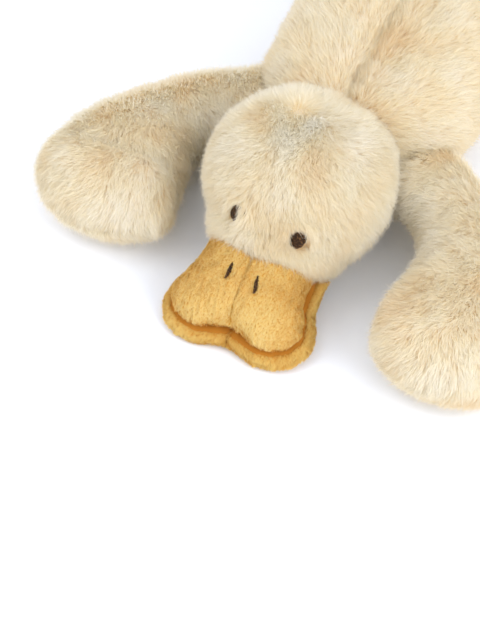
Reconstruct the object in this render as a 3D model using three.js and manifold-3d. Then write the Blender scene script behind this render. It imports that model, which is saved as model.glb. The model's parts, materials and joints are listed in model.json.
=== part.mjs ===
// A plush duck lying on its belly with its wings spread. The body, head, wings, legs and tail are
// long-pile skins filled with fibre. The two-layer bill and the webbed feet are short-pile velour
// over the same filling, and the eyes and nostrils are embroidered.
// Sizes are in millimetres and degrees. The duck faces -Y, its left side is +X, and up is +Z.
import * as THREE from "three";
import { mergeVertices } from "three/addons/utils/BufferGeometryUtils.js";
import Module from "manifold-3d";

const wasm = await Module();
wasm.setup();

// Cloth and sewing
const SEWN_GAP = 0.3; // between two pieces that are sewn or seated together
const PLUSH_SKIN = 5; // knitted backing with its brushed pile
const VELOUR_SKIN = 2.2; // short-pile velour of the bill and the feet
const FLOOR_CUT = 0.5; // how deep a filled form is pressed flat where it lies

// Body: a pear, narrow at the neck and full at the belly
const BODY_LENGTH = 176;
const NECK_WIDTH = 82;
const SHOULDER_WIDTH = 124;
const BELLY_WIDTH = 138;
const RUMP_WIDTH = 128;
const NECK_HEIGHT = 80;
const BELLY_HEIGHT = 95;
const RUMP_HEIGHT = 88;
const SPINE_HEIGHT = 43; // height of the widest line of the body
const NECK_ROUND = 31; // how far the neck end takes to close
const RUMP_ROUND = 68;
const BACK_SEAM_DIP = 3.5; // the seam down the back lies this deep between two full sides
const NECK_HOLE = 44; // opening in the skin under the head, which the body is filled through

// Head: a ball, a little wider than high, turned and tilted on the soft neck
const HEAD_WIDTH = 115;
const HEAD_DEPTH = 112;
const HEAD_HEIGHT = 105;
const HEAD_INSET = 26; // how far the round of the head would reach into the body
const HEAD_TURN = 4; // towards the duck's left
const HEAD_TILT = 6; // left side lower
const HEAD_ASIDE = 4; // how far it lies to the duck's right of the body's middle line
const CROWN_DIP = 2.5; // where the head panels meet
const CROWN_DIP_WIDTH = 16;

// Embroidered eyes, each in a hollow of the pile
const EYE_WIDTH = 9.2;
const EYE_LENGTH = 10.8;
const EYE_THICK = 2.2;
// Sewn by hand, so they don't quite match: each one's angle from the middle of the face, and its
// angle above the middle of the head
const EYE_LEFT = { turn: 19.8, rise: 12.7 };
const EYE_RIGHT = { turn: -20.6, rise: 14 };
const EYE_SINK = 3; // depth of the hollow
const EYE_MARGIN = 1; // hollow left round the thread

// Bill: a full upper cushion on a wider, flatter lower one, sloping down to the floor
const BILL_WAIST = 66;
const BILL_WIDTH = 85;
const BILL_OUT = 41; // how far the upper cushion stands out of the head
const BILL_INSET = 40; // how far both would reach into the round of the head
const BILL_NOTCH = 5.5; // depth of the dip in the middle of the front edge
const BILL_RIM = 7; // how far the lower cushion stands out all round
const UPPER_FRONT_THICK = 17;
const UPPER_BACK_THICK = 36;
const LOWER_THICK = 9.5;
const BILL_SLOPE = 11;
const BILL_TURN = 2;
const BILL_SEAM_DIP = 1.2; // seam down the middle of the upper cushion
const BILL_SEAM_WIDTH = 8;

// Embroidered nostrils
const NOSTRIL_LENGTH = 11.5;
const NOSTRIL_WIDTH = 1.8;
const NOSTRIL_THICK = 1.4;
// Sewn by hand, so they don't quite match: each one's distance from the middle seam and from the
// front of the upper cushion, and its turn towards the duck's left
const NOSTRIL_LEFT = { aside: 9.2, back: 28.5, turn: 15 };
const NOSTRIL_RIGHT = { aside: -8.5, back: 31, turn: 2 };
const NOSTRIL_SINK = 0.8;
const NOSTRIL_MARGIN = 0.5;

// Wings: each sweeps out and forwards in an arc, and ends in a broad, full tip
const WING_INSET = 32; // how far a wing's middle line reaches in from the side of the body
// The middle line of each wing: how far its root lies back from the neck end of the body, how far
// from there its arc goes sideways and forwards, and its bend, which is 1 for an even arc and less
// for one that turns forwards later
const WING_LEFT = { back: 21, out: 88, forward: 140, bend: 0.87 };
const WING_RIGHT = { back: 29, out: 84, forward: 130, bend: 0.73 };
const WING_ROOT_WIDTH = 50;
const WING_TIP_WIDTH = 88;
const WING_ROOT_HEIGHT = 46;
const WING_TIP_HEIGHT = 64;
const WING_LIFT = 12; // how far the root hangs above the floor
const WING_TIP_ROUND = 32; // how far the tip takes to close

// Legs and webbed feet
const HIP_FORWARD = 34; // from the rump end of the body forwards to a leg's middle line
const LEG_INSET = 30; // how far that line reaches in from the side of the body
const LEG_OUT = 50;
const LEG_BACK = 76;
const LEG_ROOT_WIDTH = 50;
const LEG_END_WIDTH = 40;
const FOOT_LENGTH = 66;
const FOOT_WIDTH = 64;
const HEEL_WIDTH = 34;
const FOOT_THICK = 22;
const TOE_DIP = 8; // depth of the dips between the three toes
const FOOT_TURN = 12; // the toes point this much further out than the leg
const HEEL_INSET = 16; // how far the leg's round end sits in the heel

// Tail: a short upturned cone at the rump
const TAIL_WIDTH = 46;
const TAIL_TIP_WIDTH = 24;
const TAIL_HEIGHT = 30;
const TAIL_LENGTH = 62;
const TAIL_INSET = 28; // how much of it would reach into the body
const TAIL_RISE = 28; // angle above the floor
const TAIL_ABOVE = 6; // from the body's widest line up to its root

// Swing of each soft seam, down and up from how the duck lies
const SWINGS = {
  neck: [-18, 30],
  bill: [-8, 14],
  wing: [-15, 45],
  hip: [-20, 35],
  ankle: [-20, 30],
  rump: [-12, 22],
};
const SWING_STEPS = 5;
const FOLD_DEPTH = 8; // a soft seam folds this far below the top of the piece that it carries

const { degToRad, lerp } = THREE.MathUtils;
const UP = new THREE.Vector3(0, 0, 1);
const FORWARD = new THREE.Vector3(0, -1, 0);
const BACKWARD = new THREE.Vector3(0, 1, 0);
const point = (x, y, z) => new THREE.Vector3(x, y, z);

// A smooth value along a piece, through values at even steps from one end to the other.
function smooth(...values) {
  const curve = new THREE.SplineCurve(
    values.map((value, i) => new THREE.Vector2(i / (values.length - 1), value)),
  );
  return (t) => curve.getPoint(t).y;
}
const halfOf = (...sizes) => smooth(...sizes.map((size) => size / 2));

// The share of its full size that a section has near an end that closes in a round.
const roundEnd = (distance, round) =>
  distance >= round ? 1 : Math.sqrt(1 - (1 - distance / round) ** 2);

// Joins rings of points, each with the same count, into a closed form between two poles.
function closedRings(first, rings, last) {
  const count = rings[0].length;
  const faces = [];
  const at = (ring, i) => 1 + ring * count + (i % count);
  const end = 1 + rings.length * count;
  for (let i = 0; i < count; i++) {
    faces.push(0, at(0, i), at(0, i + 1));
    faces.push(end, at(rings.length - 1, i + 1), at(rings.length - 1, i));
    for (let ring = 0; ring + 1 < rings.length; ring++) {
      faces.push(at(ring, i), at(ring + 1, i), at(ring + 1, i + 1));
      faces.push(at(ring, i), at(ring + 1, i + 1), at(ring, i + 1));
    }
  }
  const form = new THREE.BufferGeometry().setFromPoints([first, ...rings.flat(), last]);
  return form.setIndex(faces);
}

// A filled tube along a spine. Its sections are superellipses with their own half width and
// their own height above and below the spine, and both ends close in a round.
function filledTube({ spine, half, above, below = above, rounds, square = 2.2, dip }, fine) {
  const rings = Math.round(17 * fine);
  const quarter = Math.round(6 * fine);
  const length = spine.getLength();
  const power = 2 / square;
  const made = [];
  for (let k = 1; k < rings; k++) {
    const t = (1 - Math.cos((Math.PI * k) / rings)) / 2;
    const centre = spine.getPointAt(t);
    const tangent = spine.getTangentAt(t);
    const across = new THREE.Vector3().crossVectors(tangent, UP).normalize();
    const over = new THREE.Vector3().crossVectors(across, tangent);
    const size = roundEnd(t * length, rounds[0]) * roundEnd((1 - t) * length, rounds[1]);
    const ring = [];
    for (let i = 0; i < 4 * quarter; i++) {
      const angle = (Math.PI * i) / (2 * quarter);
      const [cos, sin] = [Math.cos(angle), Math.sin(angle)];
      const sideways = half(t) * size * Math.sign(cos) * Math.abs(cos) ** power;
      let upwards = (sin > 0 ? above(t) : below(t)) * size * Math.sign(sin) * Math.abs(sin) ** power;
      if (dip && i === quarter) upwards -= dip * Math.sin(Math.PI * t);
      ring.push(centre.clone().addScaledVector(across, sideways).addScaledVector(over, upwards));
    }
    made.push(ring);
  }
  return closedRings(spine.getPointAt(0), made, spine.getPointAt(1));
}

// A filled cushion: a dome above and a dome below a plan outline.
function cushion({ outline, above, below, crown, dip = () => 0 }, fine) {
  const rings = Math.round(6 * fine);
  const plan = outline(4 * Math.round(9 * fine));
  const ringAt = (share, upper) =>
    plan.map(({ x, y }) => {
      const [px, py] = [share * x, share * y];
      const dome = (1 - share ** crown) ** (1 / crown);
      const z = upper ? dome * above(px, py) - dip(px, py) * (1 - share ** 8) : -dome * below;
      return point(px, py, z);
    });
  const made = [];
  for (let k = 1; k < 2 * rings; k++) {
    made.push(ringAt(Math.sin((Math.PI * k) / (2 * rings)), k <= rings));
  }
  return closedRings(point(0, 0, above(0, 0) - dip(0, 0)), made, point(0, 0, -below));
}

const ellipse = (width, length) => (count) =>
  new THREE.EllipseCurve(0, 0, width / 2, length / 2).getPoints(count).slice(0, count);

// A smooth closed outline from its right half, which is given from the front to the back.
function mirrored(right) {
  const left = right.filter(([x]) => x > 0).map(([x, y]) => [-x, y]).reverse();
  const corners = [...right, ...left].map(([x, y]) => point(x, y, 0));
  const curve = new THREE.CatmullRomCurve3(corners, true, "centripetal");
  return (count) => curve.getSpacedPoints(count).slice(0, count);
}

// The same outline moved outwards by a margin.
const widened = (outline, margin) => (count) => {
  const plan = outline(count);
  return plan.map(({ x, y }, i) => {
    const run = new THREE.Vector3().subVectors(plan[(i + 1) % count], plan.at(i - 1)).normalize();
    return point(x + margin * run.y, y - margin * run.x, 0);
  });
};

// The form with its surface moved along its normals, outwards where the distance is above 0.
function swollen(form, distance) {
  const moved = form.clone();
  moved.computeVertexNormals();
  const { position, normal } = moved.attributes;
  const [at, out] = [new THREE.Vector3(), new THREE.Vector3()];
  for (let i = 0; i < position.count; i++) {
    at.fromBufferAttribute(position, i).addScaledVector(out.fromBufferAttribute(normal, i), distance);
    position.setXYZ(i, ...at);
  }
  return moved;
}

// A closed form as a solid that can be joined and cut.
function solid(form) {
  const bare = form.clone();
  bare.deleteAttribute("normal");
  bare.deleteAttribute("uv");
  const merged = mergeVertices(bare, 1e-4);
  const vertProperties = new Float32Array(merged.attributes.position.array);
  const triVerts = new Uint32Array(merged.index.array);
  return new wasm.Manifold(new wasm.Mesh({ numProp: 3, vertProperties, triVerts }));
}

const moved = (form, matrix) => form.clone().applyMatrix4(matrix);

// A soft seam that lets the piece beyond it swing up and down: where it is, and its axis, about
// which a positive angle lifts what lies in the given direction.
function softSeam(pivot, direction, [low, high]) {
  const axis = new THREE.Vector3().crossVectors(direction, UP).normalize();
  return { pivot, axis, low, high };
}

function swung({ pivot, axis }, angle) {
  return new THREE.Matrix4()
    .makeTranslation(pivot)
    .multiply(new THREE.Matrix4().makeRotationAxis(axis, degToRad(angle)))
    .multiply(new THREE.Matrix4().makeTranslation(pivot.clone().negate()));
}

const swings = ({ low, high }) =>
  Array.from({ length: SWING_STEPS + 1 }, (_, k) => lerp(low, high, k / SWING_STEPS));

// What a piece has to leave free so that it clears its neighbour wherever its own seam swings it,
// and wherever the neighbour's seam swings the neighbour.
function roomBeside(neighbour, seam, neighbourSeam) {
  const shape = swollen(neighbour, SEWN_GAP);
  const shapes = neighbourSeam
    ? swings(neighbourSeam).map((angle) => moved(shape, swung(neighbourSeam, angle)))
    : [];
  let room = solid(shape);
  for (const angle of [0, ...swings(seam)]) {
    for (const one of [shape, ...shapes]) room = room.add(solid(moved(one, swung(seam, -angle))));
  }
  return room;
}

const FLOOR_SIZE = 1000;
const floor = solid(
  new THREE.BoxGeometry(FLOOR_SIZE, FLOOR_SIZE, FLOOR_SIZE).translate(0, 0, -FLOOR_SIZE / 2),
);

// A sewn piece: its skin, which is open where a cut goes through it, and the filling inside.
const INNER_FINE = 0.55;
function sewn(form, fine, thickness, cuts, openings = []) {
  const inside = form(INNER_FINE * fine);
  let skin = solid(form(fine)).subtract(solid(swollen(inside, -thickness))).subtract(floor);
  let filling = solid(swollen(inside, -thickness - SEWN_GAP)).subtract(floor);
  for (const cut of cuts) {
    skin = skin.subtract(cut);
    filling = filling.subtract(cut);
  }
  for (const opening of openings) skin = skin.subtract(opening);
  return { skin, filling };
}

// Where a ray from inside a form comes out of it.
function surfacePoint(form, from, direction) {
  const mesh = new THREE.Mesh(form, new THREE.MeshBasicMaterial({ side: THREE.DoubleSide }));
  return new THREE.Raycaster(from, direction.clone().normalize()).intersectObject(mesh)[0].point;
}

// The frame of a patch of embroidery: on the surface, facing outwards, its length running uphill.
function patchPlace(at, outwards, uphill) {
  const across = new THREE.Vector3().crossVectors(uphill, outwards).normalize();
  const along = new THREE.Vector3().crossVectors(outwards, across);
  return new THREE.Matrix4().makeBasis(across, along, outwards).setPosition(at);
}

// Embroidery that lies at the bottom of a hollow, and the hollow.
const PATCH_CROWN = 3;
const HOLLOW_CROWN = 8;
function embroidered({ width, length, thick, sink, margin }, place, fine) {
  const patch = cushion({
    outline: ellipse(width, length),
    above: () => thick / 2,
    below: thick / 2,
    crown: PATCH_CROWN,
  }, fine).translate(0, 0, thick / 2 - sink + SEWN_GAP);
  const hollow = cushion({
    outline: ellipse(width + 2 * margin, length + 2 * margin),
    above: () => sink + thick,
    below: sink,
    crown: HOLLOW_CROWN,
  }, fine);
  return { patch: solid(moved(patch, place)), hollow: solid(moved(hollow, place)) };
}

const materials = {
  plush: new THREE.MeshStandardMaterial({ color: 0xeadfc3, roughness: 0.95, metalness: 0 }),
  velour: new THREE.MeshStandardMaterial({ color: 0xe8b85c, roughness: 0.9, metalness: 0 }),
  fibre: new THREE.MeshStandardMaterial({ color: 0xf4f4f0, roughness: 1, metalness: 0 }),
  thread: new THREE.MeshStandardMaterial({ color: 0x4a3022, roughness: 0.55, metalness: 0 }),
};

const duck = new THREE.Group();
duck.name = "plush_duck";

// A cut leaves some edges that are too short to matter. Their two ends become one corner.
const SHORTEST_EDGE = 0.02;
function cleanFaces({ vertProperties, triVerts }) {
  const corners = new THREE.BufferAttribute(vertProperties, 3);
  const at = (i) => new THREE.Vector3().fromBufferAttribute(corners, i);
  const same = Array.from({ length: corners.count }, (_, i) => i);
  const first = (i) => (same[i] === i ? i : first(same[i]));
  const faces = Array.from({ length: triVerts.length / 3 }, (_, i) => [...triVerts.slice(3 * i, 3 * i + 3)]);
  for (const [a, b, c] of faces) {
    for (const [one, two] of [[a, b], [b, c], [c, a]]) {
      if (at(one).distanceTo(at(two)) < SHORTEST_EDGE) same[first(one)] = first(two);
    }
  }
  const whole = faces.map((face) => face.map(first)).filter(([a, b, c]) => a !== b && b !== c && c !== a);
  return new THREE.BufferGeometry().setAttribute("position", corners).setIndex(whole.flat());
}

function addPiece(name, made, material) {
  const faceted = cleanFaces(made.getMesh()).toNonIndexed();
  faceted.computeVertexNormals();
  const mesh = new THREE.Mesh(faceted, material);
  mesh.name = name;
  duck.add(mesh);
}

function addSewn(name, { skin, filling }, material) {
  addPiece(`${name}_skin`, skin, material);
  addPiece(`${name}_filling`, filling, materials.fibre);
}

// Body
const BODY_FINE = 1;
const neckEnd = point(0, -BODY_LENGTH / 2, SPINE_HEIGHT);
const rumpEnd = point(0, BODY_LENGTH / 2, SPINE_HEIGHT);
const bodyTop = [NECK_HEIGHT, (NECK_HEIGHT + BELLY_HEIGHT) / 2, BELLY_HEIGHT, BELLY_HEIGHT, RUMP_HEIGHT];
const bodyForm = (fine) => filledTube({
  spine: new THREE.LineCurve3(neckEnd, rumpEnd),
  half: halfOf(NECK_WIDTH, SHOULDER_WIDTH, BELLY_WIDTH, BELLY_WIDTH, RUMP_WIDTH),
  above: smooth(...bodyTop.map((top) => top - SPINE_HEIGHT)),
  below: () => SPINE_HEIGHT + FLOOR_CUT,
  rounds: [NECK_ROUND, RUMP_ROUND],
  dip: BACK_SEAM_DIP,
}, fine);
const bodyShape = bodyForm(BODY_FINE);
const neckHole = new THREE.CylinderGeometry(NECK_HOLE / 2, NECK_HOLE / 2, 2 * NECK_ROUND, 20);
const neckOpening = solid(neckHole.translate(neckEnd.x, neckEnd.y, neckEnd.z));
addSewn("body", sewn(bodyForm, BODY_FINE, PLUSH_SKIN, [], [neckOpening]), materials.plush);

// Head
const HEAD_FINE = 1;
const HEAD_CROWN = 2.1;
const headCentre = point(-HEAD_ASIDE, neckEnd.y + HEAD_INSET - HEAD_DEPTH / 2, HEAD_HEIGHT / 2 - FLOOR_CUT);
const headPlace = new THREE.Matrix4()
  .makeRotationFromEuler(new THREE.Euler(0, degToRad(HEAD_TILT), degToRad(HEAD_TURN), "ZYX"))
  .setPosition(headCentre);
const headForm = (fine) => moved(cushion({
  outline: ellipse(HEAD_WIDTH, HEAD_DEPTH),
  above: () => HEAD_HEIGHT / 2,
  below: HEAD_HEIGHT / 2,
  crown: HEAD_CROWN,
  dip: (x, y) => CROWN_DIP * Math.exp(-4 * (x ** 2 + y ** 2) / CROWN_DIP_WIDTH ** 2),
}, fine), headPlace);
const headShape = headForm(HEAD_FINE);
const nape = surfacePoint(bodyShape, point(0, neckEnd.y + HEAD_INSET / 2, SPINE_HEIGHT), UP);
const neckSeam = softSeam(nape.setZ(nape.z - FOLD_DEPTH), FORWARD, SWINGS.neck);
const neckRoom = roomBeside(bodyShape, neckSeam);

// Eyes
const eyes = [["left", EYE_LEFT], ["right", EYE_RIGHT]].map(([name, { turn, rise }]) => {
  const look = FORWARD.clone().applyAxisAngle(point(1, 0, 0), -degToRad(rise))
    .applyAxisAngle(UP, degToRad(turn));
  look.transformDirection(headPlace);
  const place = patchPlace(surfacePoint(headShape, headCentre, look), look, UP);
  const size = {
    width: EYE_WIDTH, length: EYE_LENGTH, thick: EYE_THICK, sink: EYE_SINK, margin: EYE_MARGIN,
  };
  return { name: `eye_${name}`, ...embroidered(size, place, 0.5) };
});
for (const { name, patch } of eyes) addPiece(name, patch, materials.thread);
const head = sewn(headForm, HEAD_FINE, PLUSH_SKIN, [neckRoom], eyes.map((eye) => eye.hollow));
addSewn("head", head, materials.plush);

// Bill
const BILL_FINE = 0.8;
const UPPER_CROWN = 2.5;
const LOWER_CROWN = 5;
const BILL_SEAT = 4; // depth of the rounded underside of the upper cushion
const billLength = BILL_OUT + BILL_INSET;
const billMiddle = 0.42 * billLength; // from its front back to its fullest part
const billOutline = mirrored([
  [0, BILL_NOTCH],
  [0.235 * BILL_WIDTH, 0],
  [0.43 * BILL_WIDTH, 0.07 * billLength],
  [0.5 * BILL_WIDTH, 0.23 * billLength],
  [0.53 * BILL_WAIST, 0.45 * billLength],
  [0.5 * BILL_WAIST, 0.68 * billLength],
  [0.42 * BILL_WAIST, 0.93 * billLength],
  [0, billLength],
].map(([x, y]) => [x, y - billMiddle]));
const lowerCushion = (fine) => cushion({
  outline: widened(billOutline, BILL_RIM),
  above: () => LOWER_THICK / 2,
  below: LOWER_THICK / 2,
  crown: LOWER_CROWN,
}, fine).translate(0, 0, -LOWER_THICK / 2);
const billTurn = new THREE.Matrix4()
  .makeRotationFromEuler(new THREE.Euler(degToRad(BILL_SLOPE), 0, degToRad(BILL_TURN), "ZYX"));
const lowestPoint = new THREE.Box3().setFromBufferAttribute(
  moved(lowerCushion(BILL_FINE), billTurn).attributes.position,
).min.z;
const billHeight = -FLOOR_CUT - lowestPoint;
const billPlace = billTurn.clone()
  .setPosition(headCentre.x, headCentre.y - HEAD_DEPTH / 2 - BILL_OUT + billMiddle, billHeight);
const upperForm = (fine) => moved(cushion({
  outline: billOutline,
  above: (x, y) => lerp(UPPER_FRONT_THICK, UPPER_BACK_THICK, (y + billMiddle) / billLength),
  below: BILL_SEAT,
  crown: UPPER_CROWN,
  dip: (x) => BILL_SEAM_DIP * Math.exp(-4 * x ** 2 / BILL_SEAM_WIDTH ** 2),
}, fine).translate(0, 0, BILL_SEAT + SEWN_GAP), billPlace);
const lowerForm = (fine) => moved(lowerCushion(fine), billPlace);
const upperShape = upperForm(BILL_FINE);
const aboveBill = point(headCentre.x, headCentre.y - 0.45 * HEAD_DEPTH, HEAD_HEIGHT);
const brow = surfacePoint(upperShape, aboveBill, UP.clone().negate());
const billPivot = surfacePoint(headShape, brow.setY(headCentre.y).setZ(brow.z - FOLD_DEPTH), FORWARD);
const billSeam = softSeam(billPivot, FORWARD, SWINGS.bill);
const billRoom = roomBeside(headShape, billSeam);

// Nostrils
const billUp = UP.clone().transformDirection(billPlace);
const billAhead = FORWARD.clone().transformDirection(billPlace);
const nostrils = [["left", NOSTRIL_LEFT], ["right", NOSTRIL_RIGHT]].map(([name, { aside, back, turn }]) => {
  const under = point(aside, back - billMiddle, 1).applyMatrix4(billPlace);
  const along = billAhead.clone().applyAxisAngle(billUp, degToRad(turn));
  const place = patchPlace(surfacePoint(upperShape, under, billUp), billUp, along);
  const size = {
    width: NOSTRIL_WIDTH, length: NOSTRIL_LENGTH, thick: NOSTRIL_THICK,
    sink: NOSTRIL_SINK, margin: NOSTRIL_MARGIN,
  };
  return { name: `nostril_${name}`, ...embroidered(size, place, 0.35) };
});
for (const { name, patch } of nostrils) addPiece(name, patch, materials.thread);
const nostrilHollows = nostrils.map((nostril) => nostril.hollow);
addSewn("bill_upper", sewn(upperForm, BILL_FINE, VELOUR_SKIN, [billRoom], nostrilHollows), materials.velour);
addSewn("bill_lower", sewn(lowerForm, BILL_FINE, VELOUR_SKIN, [billRoom]), materials.velour);

// Wings
const WING_FINE = 0.85;
const WING_ROOT_ROUND = 12;
const WING_POINTS = 7; // along the arc of its middle line
const seams = { neck: neckSeam, bill: billSeam };
for (const [name, side, laid] of [["left", 1, WING_LEFT], ["right", -1, WING_RIGHT]]) {
  const root = point(side * (SHOULDER_WIDTH / 2 - WING_INSET), neckEnd.y + laid.back, 0);
  const arc = Array.from({ length: WING_POINTS }, (_, i) => {
    const t = i / (WING_POINTS - 1);
    const turn = (Math.PI / 2) * t;
    const height = lerp(WING_ROOT_HEIGHT, WING_TIP_HEIGHT, t) / 2 - FLOOR_CUT + WING_LIFT * (1 - t) ** 2;
    const sideways = laid.out * Math.sin(turn) ** laid.bend;
    const forwards = laid.forward * (1 - Math.max(Math.cos(turn), 0) ** laid.bend);
    return point(root.x + side * sideways, root.y - forwards, height);
  });
  const spine = new THREE.CatmullRomCurve3(arc);
  const { [0]: start, [arc.length - 1]: tip } = arc;
  const wingForm = (fine) => filledTube({
    spine,
    half: halfOf(WING_ROOT_WIDTH, WING_ROOT_WIDTH, WING_ROOT_WIDTH,
      lerp(WING_ROOT_WIDTH, WING_TIP_WIDTH, 0.15), lerp(WING_ROOT_WIDTH, WING_TIP_WIDTH, 0.75),
      WING_TIP_WIDTH, WING_TIP_WIDTH),
    above: halfOf(WING_ROOT_HEIGHT, WING_ROOT_HEIGHT, WING_TIP_HEIGHT, WING_TIP_HEIGHT),
    rounds: [WING_ROOT_ROUND, WING_TIP_ROUND],
  }, fine);
  const chord = new THREE.Vector3().subVectors(tip, start).setZ(0).normalize();
  const armpit = surfacePoint(bodyShape, start, chord);
  const seam = softSeam(
    armpit.setZ(start.z + WING_ROOT_HEIGHT / 2 - FOLD_DEPTH), chord, SWINGS.wing,
  );
  const rooms = [roomBeside(bodyShape, seam), roomBeside(headShape, seam, neckSeam)];
  addSewn(`wing_${name}`, sewn(wingForm, WING_FINE, PLUSH_SKIN, rooms), materials.plush);
  seams[`wing_${name}`] = seam;
}

// Legs and feet
const LEG_FINE = 0.6;
const FOOT_FINE = 0.7;
const FOOT_CROWN = 3;
for (const [name, side] of [["left", 1], ["right", -1]]) {
  const x = side * (RUMP_WIDTH / 2 - LEG_INSET);
  const hip = point(x, rumpEnd.y - HIP_FORWARD, LEG_ROOT_WIDTH / 2 - FLOOR_CUT);
  const ankle = point(x + side * LEG_OUT, hip.y + LEG_BACK, LEG_END_WIDTH / 2 - FLOOR_CUT);
  const legForm = (fine) => filledTube({
    spine: new THREE.LineCurve3(hip, ankle),
    half: halfOf(LEG_ROOT_WIDTH, LEG_END_WIDTH),
    above: halfOf(LEG_ROOT_WIDTH, LEG_END_WIDTH),
    rounds: [LEG_ROOT_WIDTH / 4, LEG_END_WIDTH / 2],
  }, fine);
  const legRun = new THREE.Vector3().subVectors(ankle, hip).setZ(0).normalize();
  const groin = surfacePoint(bodyShape, hip, legRun);
  const hipSeam = softSeam(groin.setZ(LEG_ROOT_WIDTH - FOLD_DEPTH), legRun, SWINGS.hip);
  const legRoom = roomBeside(bodyShape, hipSeam);
  addSewn(`leg_${name}`, sewn(legForm, LEG_FINE, PLUSH_SKIN, [legRoom]), materials.plush);

  const toes = legRun.clone().applyAxisAngle(UP, -side * degToRad(FOOT_TURN));
  const footOutline = mirrored([
    [0, -0.5 * FOOT_LENGTH],
    [0.5 * HEEL_WIDTH, -0.42 * FOOT_LENGTH],
    [0.5 * HEEL_WIDTH + 3, -0.15 * FOOT_LENGTH],
    [0.5 * FOOT_WIDTH, 0.3 * FOOT_LENGTH],
    [0.36 * FOOT_WIDTH, 0.43 * FOOT_LENGTH],
    [0.19 * FOOT_WIDTH, 0.5 * FOOT_LENGTH - TOE_DIP],
    [0, 0.5 * FOOT_LENGTH],
  ]);
  const middle = ankle.clone().addScaledVector(toes, FOOT_LENGTH / 2 - HEEL_INSET);
  const across = new THREE.Vector3().crossVectors(toes, UP);
  const footPlace = new THREE.Matrix4().makeBasis(across, toes, UP)
    .setPosition(middle.x, middle.y, FOOT_THICK / 2 - FLOOR_CUT);
  const footForm = (fine) => moved(cushion({
    outline: footOutline,
    above: () => FOOT_THICK / 2,
    below: FOOT_THICK / 2,
    crown: FOOT_CROWN,
  }, fine), footPlace);
  const ankleSeam = softSeam(ankle.clone().setZ(FOOT_THICK - FOLD_DEPTH / 2), toes, SWINGS.ankle);
  const ankleRoom = roomBeside(legForm(LEG_FINE), ankleSeam);
  addSewn(`foot_${name}`, sewn(footForm, FOOT_FINE, VELOUR_SKIN, [ankleRoom]), materials.velour);
  Object.assign(seams, { [`hip_${name}`]: hipSeam, [`ankle_${name}`]: ankleSeam });
}

// Tail
const TAIL_FINE = 0.6;
const tailRun = BACKWARD.clone().applyAxisAngle(point(1, 0, 0), degToRad(TAIL_RISE));
const tailOut = point(rumpEnd.x, rumpEnd.y, rumpEnd.z + TAIL_ABOVE);
const tailRoot = tailOut.clone().addScaledVector(tailRun, -TAIL_INSET);
const tailTip = tailRoot.clone().addScaledVector(tailRun, TAIL_LENGTH);
const tailForm = (fine) => filledTube({
  spine: new THREE.LineCurve3(tailRoot, tailTip),
  half: halfOf(TAIL_WIDTH, TAIL_TIP_WIDTH),
  above: halfOf(TAIL_HEIGHT, 0.7 * TAIL_HEIGHT),
  rounds: [TAIL_HEIGHT / 4, TAIL_TIP_WIDTH / 2],
}, fine);
const tailSeat = surfacePoint(bodyShape, tailRoot, tailRun);
const rumpSeam = softSeam(
  tailSeat.setZ(tailSeat.z + TAIL_HEIGHT / 2 - FOLD_DEPTH), BACKWARD, SWINGS.rump,
);
addSewn("tail", sewn(tailForm, TAIL_FINE, PLUSH_SKIN, [roomBeside(bodyShape, rumpSeam)]), materials.plush);
seams.rump = rumpSeam;

// The origin is on the floor, under the middle of the whole duck.
const middle = new THREE.Box3().setFromObject(duck).getCenter(new THREE.Vector3());
duck.position.set(-middle.x, -middle.y, 0);
duck.userData.seams = seams;

export default duck;
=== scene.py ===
# A plush duck lying on its belly with its wings spread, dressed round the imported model.
# Lengths are in metres. The duck faces -Y, its left side is +X, and the floor is at Z = 0.
import json
import math

import bmesh
import bpy
import numpy as np
from mathutils import Matrix, Vector, noise
from mathutils.bvhtree import BVHTree
from mathutils.kdtree import KDTree


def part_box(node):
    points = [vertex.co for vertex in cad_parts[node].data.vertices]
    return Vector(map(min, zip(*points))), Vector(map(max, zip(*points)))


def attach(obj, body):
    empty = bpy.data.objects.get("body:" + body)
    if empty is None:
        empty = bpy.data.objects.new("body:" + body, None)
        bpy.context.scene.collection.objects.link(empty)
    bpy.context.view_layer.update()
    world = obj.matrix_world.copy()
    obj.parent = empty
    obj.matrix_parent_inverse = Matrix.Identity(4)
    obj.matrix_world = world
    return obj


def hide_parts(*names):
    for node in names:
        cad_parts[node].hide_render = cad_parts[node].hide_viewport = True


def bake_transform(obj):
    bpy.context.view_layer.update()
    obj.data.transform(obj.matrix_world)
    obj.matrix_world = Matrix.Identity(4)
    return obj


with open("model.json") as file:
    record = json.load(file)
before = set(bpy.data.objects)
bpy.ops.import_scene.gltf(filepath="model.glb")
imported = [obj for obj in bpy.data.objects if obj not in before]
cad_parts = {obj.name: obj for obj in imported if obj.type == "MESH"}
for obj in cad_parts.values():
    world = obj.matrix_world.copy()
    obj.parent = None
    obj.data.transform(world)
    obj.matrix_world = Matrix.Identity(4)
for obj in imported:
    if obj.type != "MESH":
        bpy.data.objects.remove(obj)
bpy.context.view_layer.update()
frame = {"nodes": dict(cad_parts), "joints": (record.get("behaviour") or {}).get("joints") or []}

MM = 0.001


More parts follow.
